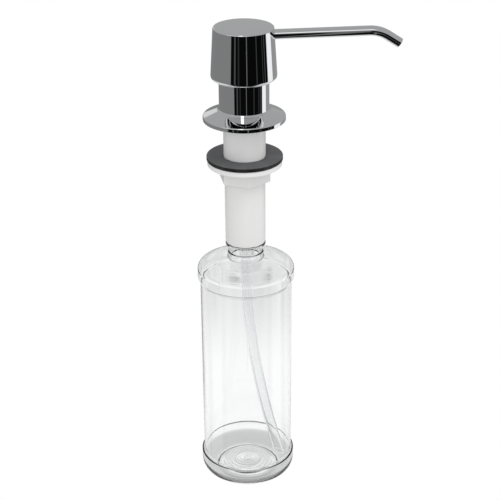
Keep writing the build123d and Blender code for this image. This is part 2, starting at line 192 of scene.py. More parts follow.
class DispenserBottle(bpy.types.PropertyGroup):
    """Bottle and dip tube."""

    neck_radius: length("Neck radius", "Outside radius of the neck", 11.5 * MM)
    neck_bore: length("Neck bore", "Inside radius of the neck", 9.6 * MM)
    body_radius: length("Body radius", "Outside radius of the body", 30.5 * MM)
    band_radius: length("Band radius", "Radius of the shoulder and base bands", 32.1 * MM)
    wall: length("Wall", "Thickness of the bottle's wall", 1.3 * MM)
    floor: length("Floor", "Thickness of the bottle's floor", 2.0 * MM)
    push_up: length("Push-up", "Rise of the middle of the base", 4.0 * MM)
    wall_variation: length("Wall variation", "Unevenness of the blown wall", 0.11 * MM)
    parting_height: length("Parting line", "Height of the mould's parting line", 0.05 * MM)
    parting_width: length("Parting width", "Width of the mould's parting line", 0.16 * MM)
    parting_turn: angle("Parting turn", "Turn of the mould's parting line", -90.7)
    tube_radius: length("Tube radius", "Outside radius of the dip tube", 3.5 * MM)
    tube_wall: length("Tube wall", "Wall thickness of the dip tube", 1.0 * MM)


class DispenserFinish(bpy.types.PropertyGroup):
    """Colours and finishes."""

    chrome: colour("Chrome", "Tint of the plated metal", (0.80, 0.81, 0.82))
    chrome_roughness: share("Chrome roughness", "Blur of the plating's reflections", 0.035)
    shank_white: colour("White plastic", "Moulded white plastic", (0.86, 0.86, 0.855))
    natural_plastic: colour("Natural plastic", "Unpigmented pump plastic", (0.86, 0.86, 0.83))
    rubber: colour("Rubber", "Black rubber", (0.050, 0.051, 0.053))
    clear_plastic: colour("Clear plastic", "Blown clear plastic", (0.985, 0.99, 0.99))
    frosted_tube: colour("Dip tube", "Translucent extruded tube", (0.95, 0.96, 0.96))
    steel: colour("Steel", "Stainless wire and balls", (0.62, 0.62, 0.63))


class DispenserStudio(bpy.types.PropertyGroup):
    """Camera and light."""

    azimuth: angle("Azimuth", "Turn of the camera round the dispenser", -2.2)
    distance: length("Distance", "Camera's distance from the centre line", 0.8144)
    height: length("Height", "Camera's height above the counter", 0.3001)
    pitch: angle("Pitch", "How far the camera looks down", 25.70)
    roll: angle("Roll", "Tilt of the camera", -0.519)
    yaw: angle("Yaw", "Turn of the camera from the centre line", 0.200)
    lens: FloatProperty(
        name="Lens", description="Focal length", default=98.5, unit="CAMERA"
    )
    key_power: FloatProperty(
        name="Key light", description="Power of the main soft light", default=3.0, unit="POWER"
    )


# ---------------------------------------------------------------- surfaces


def unit(vectors):
    return vectors / np.linalg.norm(vectors, axis=-1, keepdims=True)


def outline(corners, steps, closed=True):
    """Rounded outline, as places and outward normals in radius and height.

    A corner is (radius, height) or (radius, height, rounding), with the material on the left
    of the way round. Each side is cut back by the rounding times the tangent of half the turn,
    and the arc between is the centre plus or minus the rounding times the normal, which turns
    evenly from one side's to the next side's.
    """
    table = np.array([tuple(corner) + (0.0,) * (3 - len(corner)) for corner in corners])
    place, rounding = table[:, :2], table[:, 2]
    leave = unit(np.roll(place, -1, 0) - place)
    arrive = np.roll(leave, 1, 0)
    if not closed:
        leave[-1] = arrive[-1]
        arrive[0] = leave[0]
    cross = arrive[:, 0] * leave[:, 1] - arrive[:, 1] * leave[:, 0]
    turn = np.arctan2(cross, (arrive * leave).sum(1))
    bend = np.where(turn < 0, -rounding, rounding)
    right = np.stack([arrive[:, 1], -arrive[:, 0]], 1)
    cut = rounding * np.tan(np.abs(turn) / 2)
    centre = place - arrive * cut[:, None] - right * bend[:, None]
    swing = turn[:, None] * np.linspace(0, 1, steps + 1)
    normals = np.stack(
        [
            np.cos(swing) * right[:, :1] - np.sin(swing) * right[:, 1:],
            np.sin(swing) * right[:, :1] + np.cos(swing) * right[:, 1:],
        ],
        -1,
    )
    places = (centre[:, None] + bend[:, None, None] * normals).reshape(-1, 2)
    normals = normals.reshape(-1, 2)
    if closed:
        places = np.vstack([places, places[:1]])
        normals = np.vstack([normals, normals[:1]])
    both = np.hstack([places / WELD, normals * 1e6])
    fresh = np.ones(len(places), bool)
    fresh[1:] = np.abs(np.diff(both, axis=0)).max(1) > 1
    return places[fresh], normals[fresh]


def upright(along):
    """The centre line as a path: a height is a place on it."""
    zero, one = np.zeros_like(along), np.ones_like(along)
    return (
        np.stack([zero, zero, along], -1),
        np.stack([zero, zero, one], -1),
        np.stack([one, zero, zero], -1),
    )


def bent_line(places, radii):
    """Path through points in the plane of the spout, with an arc at each inner point.

    The heading turns evenly along each arc, and the place is the running sum of the heading's
    direction. Returns the path, as a function of the length along it, and its whole length.
    """
    places = np.array(places)
    runs = np.diff(places, axis=0)
    heading = np.arctan2(runs[:, 1], runs[:, 0])
    turns = np.diff(heading)
    cuts = np.array(radii) * np.tan(np.abs(turns) / 2)
    arcs = np.array(radii) * np.abs(turns)
    straight = np.linalg.norm(runs, axis=1)
    straight[:-1] -= cuts
    straight[1:] -= cuts
    begins = np.cumsum(straight[:-1]) + np.concatenate([[0], np.cumsum(arcs)[:-1]])
    whole = straight.sum() + arcs.sum()
    fine = np.linspace(0, whole, 6001)
    bent = np.clip((fine[:, None] - begins) / arcs, 0, 1)
    course = heading[0] + (bent * turns).sum(1)
    step = np.stack([np.cos(course), np.sin(course)], 1)
    run = np.cumsum((step[1:] + step[:-1]) / 2, 0) * fine[1]
    walked = np.vstack([places[:1], places[0] + run])

    def path(along):
        way = np.interp(along, fine, course)
        beyond = along - np.clip(along, 0, whole)
        x = np.interp(along, fine, walked[:, 0]) + beyond * np.cos(way)
        z = np.interp(along, fine, walked[:, 1]) + beyond * np.sin(way)
        zero = np.zeros_like(along)
        return (
            np.stack([x, zero, z], -1),
            np.stack([np.cos(way), zero, np.sin(way)], -1),
            np.stack([-np.sin(way), zero, np.cos(way)], -1),
        )

    return path, whole


def carried(profile, around, path=upright, slant=0.0):
    """An outline carried round a path.

    The outline's radius turns about the path through the angles around, and its height is the
    length along the path: place = path + radius (cos a side + sin a cross). slant shears the
    far end, by slant times the sideways offset, and dies out quickly away from it.
    """
    places, normals = profile
    along = places[:, 1:]
    offset = places[:, :1] * np.cos(around)
    reach = (along / np.abs(along).max()) ** 40
    middle, ahead, side = path(along + slant * offset * reach)
    across = np.cross(ahead, side)
    outwards = side * np.cos(around)[:, None] + across * np.sin(around)[:, None]
    points = middle + places[:, :1, None] * outwards
    facing = normals[:, :1, None] * outwards + normals[:, 1:, None] * ahead
    return points, facing, None


def full_turn(columns):
    """Angles of the columns of a whole turn, the last on the first."""
    return np.linspace(0, 2 * math.pi, columns + 1)


def skin(name, *patches, sharp=None):
    """One mesh from patches, each a grid of places and normals and a mask of its quads.

    Each cell of a grid is a quad, turned to face along its normals. Equal places are welded,
    quads that this closes up become triangles or go, and each corner keeps its patch's normal.
    """
    places, normals, quads, start = [], [], [], 0
    for points, facing, kept in patches:
        rows, columns = points.shape[:2]
        index = start + np.arange(rows * columns).reshape(rows, columns)
        cells = np.stack([index[:-1, :-1], index[:-1, 1:], index[1:, 1:], index[1:, :-1]], -1)
        cells = cells.reshape(-1, 4) if kept is None else cells[kept]
        flat, turned = points.reshape(-1, 3), facing.reshape(-1, 3)
        local = cells - start
        spans = flat[local[:, 2:]] - flat[local[:, :2]]
        lie = np.cross(spans[:, 0], spans[:, 1])
        if (lie * turned[local].sum(1)).sum() < 0:
            cells = cells[:, ::-1]
        places.append(flat)
        normals.append(turned)
        quads.append(cells)
        start += rows * columns
    places, normals, quads = np.vstack(places), np.vstack(normals), np.vstack(quads)
    keys = np.round(places / WELD + 0.25).astype(np.int64)
    _, first, welded = np.unique(keys, axis=0, return_index=True, return_inverse=True)
    corners = welded.reshape(-1)[quads]
    open_corner = corners != np.roll(corners, 1, 1)
    sound = open_corner.sum(1) > 2
    corners, open_corner, quads = corners[sound], open_corner[sound], quads[sound]
    loops = corners[open_corner]
    used, loops = np.unique(loops, return_inverse=True)
    sizes = open_corner.sum(1)
    mesh = bpy.data.meshes.new(name)
    mesh.vertices.add(len(used))
    mesh.vertices.foreach_set("co", places[first[used]].astype(np.float32).ravel())
    mesh.loops.add(len(loops))
    mesh.loops.foreach_set("vertex_index", loops.reshape(-1).astype(np.int32))
    mesh.polygons.add(len(sizes))
    starts = np.concatenate([[0], np.cumsum(sizes)[:-1]]).astype(np.int32)
    mesh.polygons.foreach_set("loop_start", starts)
    mesh.update(calc_edges=True)
    if mesh.validate():
        raise RuntimeError(f"{name} is not a sound mesh")
    mesh.shade_smooth()
    if sharp is None:
        mesh.normals_split_custom_set(unit(normals[quads[open_corner]]).tolist())
    else:
        mesh.set_sharp_from_angle(angle=sharp)
    piece = bpy.data.objects.new(name, mesh)
    bpy.context.scene.collection.objects.link(piece)
    return piece


def fit(piece, body, slot, node):
    """Gives a finished piece its body and its material, and hides the node it stands for."""
    piece.data.materials.append(material_for(slot))
    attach(piece, body)
    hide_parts(node)
    return piece


def turned(name, corners):
    """A piece turned round the centre line from an outline of corners."""
    grid = bpy.context.scene.dispenser_mesh
    return skin(name, carried(outline(corners, grid.arc_steps), full_turn(grid.columns)))


# ---------------------------------------------------------------- materials


class Value:
    """A node's output. Python's operators on it add Math nodes."""

    def __init__(self, nodes, socket):
        self.nodes = nodes
        self.socket = socket

    def math(self, operation, *values):
        sockets = dict(enumerate(values))
        return self.nodes.make("ShaderNodeMath", {"operation": operation}, sockets)

    def __add__(self, other):
        return self.math("ADD", self, other)

    def __sub__(self, other):
        return self.math("SUBTRACT", self, other)

    def __rsub__(self, other):
        return self.math("SUBTRACT", other, self)

    def __mul__(self, other):
        return self.math("MULTIPLY", self, other)

    def __pow__(self, other):
        return self.math("POWER", self, other)

    def __rpow__(self, other):
        return self.math("POWER", other, self)

    __radd__ = __add__
    __rmul__ = __mul__

    def sine(self):
        return self.math("SINE", self)

    def turn_from(self, other):
        """Angle, from other's axis towards this one's, of the place that the two give."""
        return self.math("ARCTAN2", self, other)

    def within(self, low, high, soft):
        """1 between two values and 0 outside them, with soft edges."""
        return self.ramp(low - soft, low + soft) * (1 - self.ramp(high - soft, high + soft))

    def ramp(self, low, high, start=0.0, end=1.0):
        """From start to end as the value goes from low to high, with an even curve."""
        sockets = {0: self, 1: low, 2: high, 3: start, 4: end}
        return self.nodes.make(
            "ShaderNodeMapRange", {"interpolation_type": "SMOOTHSTEP"}, sockets
        )


class Nodes:
    """A material's node tree."""

    def __init__(self, name):
        self.material = bpy.data.materials.new(name)
        self.material.use_nodes = True
        self.tree = self.material.node_tree
        self.tree.nodes.clear()

    def make(self, kind, settings=None, sockets=None, out=0):
        """Adds a node: its settings first, then the values or links of its sockets."""
        node = self.tree.nodes.new(kind)
        for key, value in (settings or {}).items():
            setattr(node, key, value)
        for key, value in (sockets or {}).items():
            if isinstance(value, Value):
                self.tree.links.new(value.socket, node.inputs[key])
            else:
                node.inputs[key].default_value = value
        return Value(self, node.outputs[out]) if node.outputs else None

    def coordinates(self):
        return self.make("ShaderNodeTexCoord", out="Object")

    def parts(self, vector):
        """A vector's x, y and z."""
        node = self.make("ShaderNodeSeparateXYZ", None, {0: vector}).socket.node
        return [Value(self, node.outputs[i]) for i in range(3)]

    def stretched(self, vector, scale):
        return self.make("ShaderNodeMapping", {"vector_type": "POINT"}, {0: vector, 3: scale})

    def noise(self, vector, scale, detail=2.0, roughness=0.5):
        sockets = {"Vector": vector, "Scale": scale, "Detail": detail, "Roughness": roughness}
        return self.make("ShaderNodeTexNoise", None, sockets)

    def blend(self, factor, first, second):
        """Mixes two colours; a Mix node has its colours on sockets 6 and 7 and output 2."""
        sockets = {0: factor, 6: (*first, 1.0), 7: (*second, 1.0)}
        return self.make("ShaderNodeMix", {"data_type": "RGBA"}, sockets, out=2)

    def bump(self, height, distance, strength=1.0):
        sockets = {"Height": height, "Distance": distance, "Strength": strength}
        return self.make("ShaderNodeBump", None, sockets)

    def finish(self, shader):
        self.make("ShaderNodeOutputMaterial", None, {"Surface": shader})
        return self.material

    def surface(self, sockets):
        return self.finish(self.make("ShaderNodeBsdfPrincipled", None, sockets))


def from_axis(x, y):
    """Distance from the centre line."""
    return (x * x + y * y) ** 0.5


def shaded(tint, factor):
    """A tint made darker or paler, no part of it over 1."""
    return tuple(min(1.0, part * factor) for part in tint)


def chrome_finish(finish):
    """Bright plating: near-mirror, with faint handling marks and the slightest orange peel."""
    nodes = Nodes("Polished chrome")
    place = nodes.coordinates()
    marks = nodes.noise(place, 90.0, 4.0, 0.6)
    fine = nodes.noise(place, 900.0, 2.0)
    clean = finish.chrome_roughness
    roughness = clean * 0.6 + marks.ramp(0.45, 0.75) * clean * 1.2 + fine * clean * 0.4
    tint = nodes.blend(marks, shaded(finish.chrome, 0.985), finish.chrome)
    peel = nodes.bump(nodes.noise(place, 60.0, 1.0), 0.03 * MM, 0.12)
    return nodes.surface(
        {"Base Color": tint, "Metallic": 1.0, "Roughness": roughness, "Normal": peel}
    )


def moulded_plastic(name, tint, gloss, grain):
    """Moulded plastic: slight mottling, soft sheen and a fine tool grain."""
    nodes = Nodes(name)
    place = nodes.coordinates()
    cloud = nodes.noise(place, 45.0, 3.0)
    fine = nodes.noise(place, grain, 3.0, 0.6)
    base = nodes.blend(cloud, shaded(tint, 0.985), tint)
    relief = nodes.bump(fine * 0.7 + cloud * 0.3, 0.02 * MM, 0.35)
    return nodes.surface(
        {
            "Base Color": base,
            "Roughness": gloss + (cloud - 0.5) * 0.08 + (fine - 0.5) * 0.06,
            "IOR": 1.5,
            "Normal": relief,
        }
    )


def rubber_finish(finish):
    """Matt black rubber with a fine grain, a pale bloom on its faces and painted shade darkening its rim."""
    nodes = Nodes("Black rubber")
    place = nodes.coordinates()
    bloom = nodes.noise(place, 120.0, 4.0, 0.65)
    grain = nodes.noise(place, 2600.0, 2.0, 0.7)
    x, y, z = nodes.parts(place)
    high, edge = top_of("rubber_washer"), half_width("rubber_washer")
    below_top = 1 - z.ramp(high - 0.35 * MM, high - 0.05 * MM)
    # rim masks the outer side below the top edge, where painted shade darkens the base colour; the pale bloom on
    # the faces is the rubber's own
    rim = from_axis(x, y).ramp(edge - 0.4 * MM, edge - 0.1 * MM) * below_top
    bloom_and_rim_shade = bloom.ramp(0.4, 0.8) * 0.3 + 0.7 - 0.7 * rim
    base = nodes.blend(bloom_and_rim_shade, shaded(finish.rubber, 0.12), shaded(finish.rubber, 2.6))
    relief = nodes.bump(grain * 0.8 + bloom * 0.2, 0.05 * MM, 0.6)
    return nodes.surface(
        {"Base Color": base, "Roughness": 0.52 + bloom * 0.25, "IOR": 1.5, "Normal": relief}
    )


def clear_finish(finish):
    """Clear blown plastic: soft upright streaks in the wall, and a swirled, duller base."""
    nodes = Nodes("Clear plastic")
    place = nodes.coordinates()
    streaks = nodes.noise(nodes.stretched(place, (1.0, 1.0, 0.06)), 110.0, 2.0)
    cloud = nodes.noise(place, 30.0, 1.0)
    x, y, z = nodes.parts(place)
    across = from_axis(x, y)
    base = foot_of("bottle")
    low = 1 - z.ramp(base + 4.4 * MM, base + 6.5 * MM)
    swirled = low * (1 - across.ramp(19.0 * MM, 23.0 * MM))
    arms, tightness = 3.0, 2600.0
    swirl = (across * tightness + y.turn_from(x) * arms).sine() * 0.5 + 0.5
    height = streaks * 0.8 + cloud * 0.2 + swirled * swirl * 0.25
    relief = nodes.bump(height, 0.25 * MM, 0.35)
    return nodes.surface(
        {
            "Base Color": (*finish.clear_plastic, 1.0),
            "Roughness": 0.012 + streaks.ramp(0.5, 0.8) * 0.02 + swirled * 0.13,
            "IOR": 1.46,
            "Transmission Weight": 1.0,
            "Normal": relief,
        }
    )


def frosted_finish(finish):
    """Translucent extruded tube, with fine lines along its length."""
    nodes = Nodes("Frosted tube")
    place = nodes.coordinates()
    lines = nodes.noise(nodes.stretched(place, (1.0, 1.0, 0.02)), 900.0, 2.0)
    return nodes.surface(
        {
            "Base Color": (*finish.frosted_tube, 1.0),
            "Roughness": 0.10 + lines * 0.10,
            "IOR": 1.10,
            "Transmission Weight": 1.0,
            "Normal": nodes.bump(lines, 0.02 * MM, 0.4),
        }
    )


def steel_finish(name, finish, stretch, gloss):
    """Drawn or ground stainless steel, with fine scratches along the stretch."""
    nodes = Nodes(name)
    place = nodes.stretched(nodes.coordinates(), stretch)
    scratches = nodes.noise(place, 1600.0, 3.0, 0.7)
    base = nodes.blend(scratches, shaded(finish.steel, 0.9), shaded(finish.steel, 1.1))
    relief = nodes.bump(scratches, 0.01 * MM, 0.4)
    return nodes.surface(
        {
            "Base Color": base,
            "Metallic": 1.0,
            "Roughness": gloss + scratches * 0.1,
            "Normal": relief,
        }
    )


FINISHES = {
    "polished_chrome": chrome_finish,
    "white_plastic": lambda finish: moulded_plastic(
        "White plastic", finish.shank_white, 0.30, 1500.0
    ),
    "pump_plastic": lambda finish: moulded_plastic(
        "Natural plastic", finish.natural_plastic, 0.42, 1100.0
    ),
    "black_rubber": rubber_finish,
    "clear_plastic": clear_finish,
    "frosted_tube": frosted_finish,
    "spring_steel": lambda finish: steel_finish("Spring wire", finish, (1.0, 1.0, 0.3), 0.22),
    "ball_steel": lambda finish: steel_finish("Ball steel", finish, (1.0, 1.0, 1.0), 0.12),
}


def material_for(slot, made={}):
    """A slot's material, made the first time it is asked for."""
    if slot not in made:
        made[slot] = FINISHES[slot](bpy.context.scene.dispenser_finish)
    return made[slot]


# ---------------------------------------------------------------- pieces


def pierced(profile, around, levels, half, centre, radius):
    """A turned shell with a round hole through its wall, as patches for skin.

    The grid's cells between the lowest and highest level, and within half an angle of the x axis,
    are left out of both walls. Each opening is filled from the hole's ring to the opening's edge:
    place = ring + share (edge - ring), where the share is a power of an even step, and the wall's
    cone gives the distance from the axis. The inner ring is the outer one's shadow along x, and a
    tunnel joins the two.
    """
    places, normals = profile
    swing = np.angle(np.exp(1j * around))
    wall = normals[:, 0] * np.sign(places[:, 0])
    rows = (places[:, 1] > levels[0] - WELD) & (places[:, 1] < levels[-1] + WELD)
    rows &= np.abs(wall) > 0.9
    columns = np.abs(swing) < half + 1e-6
    inside = rows[:-1, None] & rows[1:, None] & columns[:-1] & columns[1:]
    points, facing, _ = carried(profile, around)
    patches = [(points, facing, ~inside)]
    middle = np.flatnonzero(columns[:-1])
    middle = middle[np.argsort(swing[middle])]
    rims = []
    for way in (1, -1):
        cells = np.flatnonzero(inside.any(1) & (way * normals[:-1, 0] > 0))
        rows = np.arange(cells[0], cells[-1] + 2)[::way]
        block = points[np.ix_(rows, middle)]
        sides = block[0, :-1], block[:-1, -1], block[-1, :0:-1], block[:0:-1, 0], block[0, :1]
        loop = np.concatenate(sides)
        if way == 1:
            edge = np.arctan2(loop[:, 2] - centre, loop[:, 1])
            ring = np.stack([radius * np.cos(edge), centre + radius * np.sin(edge)], 1)
        share = np.linspace(0, 1, 9)[:, None, None] ** 1.3
        flat = ring + share * (loop[:, 1:] - ring)
        foot, top = places[rows[0]], places[rows[-1]]
        grade = (top[0] - foot[0]) / (top[1] - foot[1])
        cone = foot[0] + grade * (flat[..., 1] - foot[1])
        x = np.sqrt(cone**2 - flat[..., 0] ** 2)
        tilt = normals[rows[1]]
        lie = [x / cone * tilt[0], flat[..., 0] / cone * tilt[0], np.full_like(x, tilt[1])]
        patch = np.stack([x, flat[..., 0], flat[..., 1]], -1)
        patches.append((patch, np.stack(lie, -1), None))
        rims.append(patch[0])
    towards = -np.stack([np.zeros_like(edge), np.cos(edge), np.sin(edge)], -1)
    patches.append((np.stack(rims), np.stack([towards, towards]), None))
    return patches


class DISPENSER_OT_head_cap(bpy.types.Operator):
    """Press cap: a tapered shell with a crowned top, an inner lip and a hole for the spout"""

    bl_idname = "dispenser.head_cap"
    bl_label = "Press Cap"

    def execute(self, context):
        head, grid = context.scene.dispenser_head, context.scene.dispenser_mesh
        low = head.top - head.height
        inner_foot = head.foot_radius - head.wall
        inner_top = head.top_radius - head.wall
        ceiling = head.top - head.roof
        lip_top = low + head.lip_height
        hole_z = head.spout_axis + inner_top * math.tan(head.spout_rise)
        hole_r = head.spout_radius + head.spout_fit
        below, above, rows = 4.4 * MM, 3.55 * MM, 19
        levels = np.linspace(hole_z - below, hole_z + above, rows)
        slope = (head.top_radius - head.foot_radius) / head.height
        outer_wall = [(head.foot_radius + slope * (z - low), z) for z in levels]
        inner_low = lip_top + head.lip
        inner_slope = (inner_top - inner_foot) / (ceiling - inner_low)
        inner_wall = [(inner_foot + inner_slope * (z - inner_low), z) for z in levels[::-1]]
        profile = outline(
            [
                (0.0, ceiling),
                (inner_top, ceiling, 0.4 * MM),
                *inner_wall,
                (inner_foot, inner_low, 0.3 * MM),
                (inner_foot - head.lip, lip_top, 0.3 * MM),
                (inner_foot - head.lip, low, 0.3 * MM),
                (head.foot_radius, low, head.foot_round),
                *outer_wall,
                (head.top_radius, head.top, head.edge_round),
                (0.5 * head.top_radius, head.top + 0.75 * head.crown, 0.0),
                (0.0, head.top + head.crown),
            ],
            grid.arc_steps,
            closed=False,
        )
        around = full_turn(grid.columns)
        patches = pierced(profile, around, levels, head.hole_turn, hole_z, hole_r)
        fit(skin("head_cap_shell", *patches), "head", "polished_chrome", "head_cap")
        return {"FINISHED"}


class DISPENSER_OT_spout(bpy.types.Operator):
    """Spout: a thin tube that rises slightly, then turns down near its end"""

    bl_idname = "dispenser.spout"
    bl_label = "Spout"

    def execute(self, context):
        head, grid = context.scene.dispenser_head, context.scene.dispenser_mesh
        columns, rows = 72, 120
        rise = math.tan(head.spout_rise)
        fall = math.tan(head.spout_bend - head.spout_rise)
        corner_z = head.spout_axis + head.spout_corner * rise
        path, whole = bent_line(
            [
                (head.spout_start, head.spout_axis + head.spout_start * rise),
                (head.spout_corner, corner_z),
                (head.spout_tip, corner_z - (head.spout_tip - head.spout_corner) * fall),
            ],
            [head.spout_bend_radius],
        )
        outer, inner = head.spout_radius, head.spout_radius - head.spout_wall
        stations = np.linspace(0, whole, rows + 2)[1:-1]
        profile = outline(
            [
                (inner, 0.0),
                (outer, 0.0, 0.1 * MM),
                *[(outer, s) for s in stations],
                (outer, whole, 0.25 * MM),
                (inner, whole, 0.25 * MM),
                *[(inner, s) for s in stations[::-1]],
            ],
            grid.arc_steps,
        )
        tube = skin("spout_tube", carried(profile, full_turn(columns), path))
        fit(tube, "head", "polished_chrome", "spout")
        return {"FINISHED"}


class DISPENSER_OT_escutcheon(bpy.types.Operator):
    """Escutcheon: a sloped flange that sweeps up into a collar, with a ledge inside"""

    bl_idname = "dispenser.escutcheon"
    bl_label = "Escutcheon"

    def execute(self, context):
        mount = context.scene.dispenser_mount
        small, fine = 0.4 * MM, 0.1 * MM
        bore = mount.shank_radius + 0.1 * MM
        spigot = mount.shank_radius - 0.6 * MM
        ledge = mount.shank_top + 0.02 * MM
        ledge_bore, ledge_top = mount.shank_bore + 0.5 * MM, ledge + 2.0 * MM
        sweep_radius, sweep_top = mount.collar_radius + 1.1 * MM, 7.8 * MM
        plate = turned(
            "escutcheon_turned",
            [
                (bore, 0.0, 0.15 * MM),
                (mount.flange_radius, 0.0, small),
                (mount.flange_radius, mount.flange_rim, 0.9 * MM),
                (sweep_radius, mount.flange_rim + mount.flange_slope, 1.2 * MM),
                (mount.collar_radius, sweep_top, small),
                (mount.collar_radius, mount.collar_top, small),
                (mount.collar_bore, mount.collar_top, small),
                (mount.collar_bore, ledge_top, 0.2 * MM),
                (ledge_bore, ledge_top, 0.2 * MM),
                (ledge_bore, ledge, 0.2 * MM),
                (spigot, ledge, fine),
                (spigot, mount.seat, fine),
                (bore, mount.seat, fine),
            ],
        )
        fit(plate, "mount", "polished_chrome", "escutcheon")
        return {"FINISHED"}


class DISPENSER_OT_shank(bpy.types.Operator):
    """Shank: a white tube with a finer stretch below the counter and a socket in its foot"""

    bl_idname = "dispenser.shank"
    bl_label = "Shank"

    def execute(self, context):
        mount = context.scene.dispenser_mount
        relief = mount.shank_radius - mount.relief
        spigot = mount.shank_radius - 0.7 * MM
        clamped = top_of("rubber_washer")
        shoulder = mount.seat - 0.02 * MM
        socket_top = mount.shank_foot + mount.socket_depth
        tube = turned(
            "shank_tube",
            [
                (mount.socket_bore, mount.shank_foot, 0.3 * MM),
                (relief, mount.shank_foot, 0.4 * MM),
                (relief, clamped, 0.15 * MM),
                (mount.shank_radius, clamped, 0.15 * MM),
                (mount.shank_radius, 0.0),
                (relief, 0.0),
                (relief, shoulder, 0.1 * MM),
                (spigot, shoulder, 0.1 * MM),
                (spigot, mount.shank_top, 0.4 * MM),
                (mount.shank_bore, mount.shank_top, 0.2 * MM),
                (mount.shank_bore, socket_top, 0.2 * MM),
                (mount.socket_bore, socket_top, 0.2 * MM),
            ],
        )
        fit(tube, "mount", "white_plastic", "shank")
        return {"FINISHED"}


class DISPENSER_OT_washer(bpy.types.Operator):
    """Rubber washer with softly rounded edges"""

    bl_idname = "dispenser.washer"
    bl_label = "Rubber Washer"

    def execute(self, context):
        mount = context.scene.dispenser_mount
        low, high = foot_of("rubber_washer"), top_of("rubber_washer")
        washer = turned(
            "washer_ring",
            [
                (mount.washer_bore, low, 0.2 * MM),
                (mount.washer_radius, low, 0.4 * MM),
                (mount.washer_radius, high, 0.4 * MM),
                (mount.washer_bore, high, 0.2 * MM),
            ],
        )
        fit(washer, "washer", "black_rubber", "rubber_washer")
        return {"FINISHED"}


class DISPENSER_OT_nut(bpy.types.Operator):
    """Mounting nut: a round flange over a six-sided hub with soft corners"""

    bl_idname = "dispenser.nut"
    bl_label = "Mounting Nut"

    def execute(self, context):
        mount, grid = context.scene.dispenser_mount, context.scene.dispenser_mesh
        low, high = foot_of("mounting_nut"), top_of("mounting_nut")
        under = high - mount.nut_flange
        hub, power = 15.5 * MM, 56
        bore, rim = mount.nut_bore, mount.nut_radius
        places, normals = outline(
            [
                (bore, low, 0.2 * MM),
                (0.5 * (bore + hub), low),
                (hub, low, 0.5 * MM),
                (hub, under, 0.8 * MM),
                *[(hub + (rim - hub) * part, under) for part in (0.3, 0.6, 0.8)],
                (rim, under, 0.6 * MM),
                (rim, high, 0.6 * MM),
                (bore, high, 0.2 * MM),
            ],
            grid.arc_steps,
        )
        around = full_turn(grid.columns)
        points, facing, _ = carried((places, normals), around)
        # The hub is a hexagon with soft corners. Its radius is the distance of a flat over the
        # sum of the six flats' cosines, each raised to a high power, under that power's root.
        # It fades to the round bore inside, and to the round rim under the flange.
        flats = np.arange(6) * math.pi / 3 + mount.nut_turned + math.pi / 6
        towards = np.clip(np.cos(around[:, None] - flats), 0, None)
        flat = mount.nut_corner * math.cos(math.pi / 6)
        hexagon = flat / (towards**power).sum(1) ** (1 / power)
        radius = places[:, 0]
        fade_end = rim - 1.0 * MM
        bite = np.clip((radius - bore) / (hub - bore), 0, 1)
        bite *= np.clip((fade_end - radius) / (fade_end - hub), 0, 1)
        bite *= places[:, 1] < under + 1e-6
        wider = radius[:, None] + bite[:, None] * (hexagon - hub)
        points[..., 0] = wider * np.cos(around)
        points[..., 1] = wider * np.sin(around)
        nut = skin("nut_moulding", (points, facing, None), sharp=math.radians(28.0))
        fit(nut, "nut", "white_plastic", "mounting_nut")
        return {"FINISHED"}


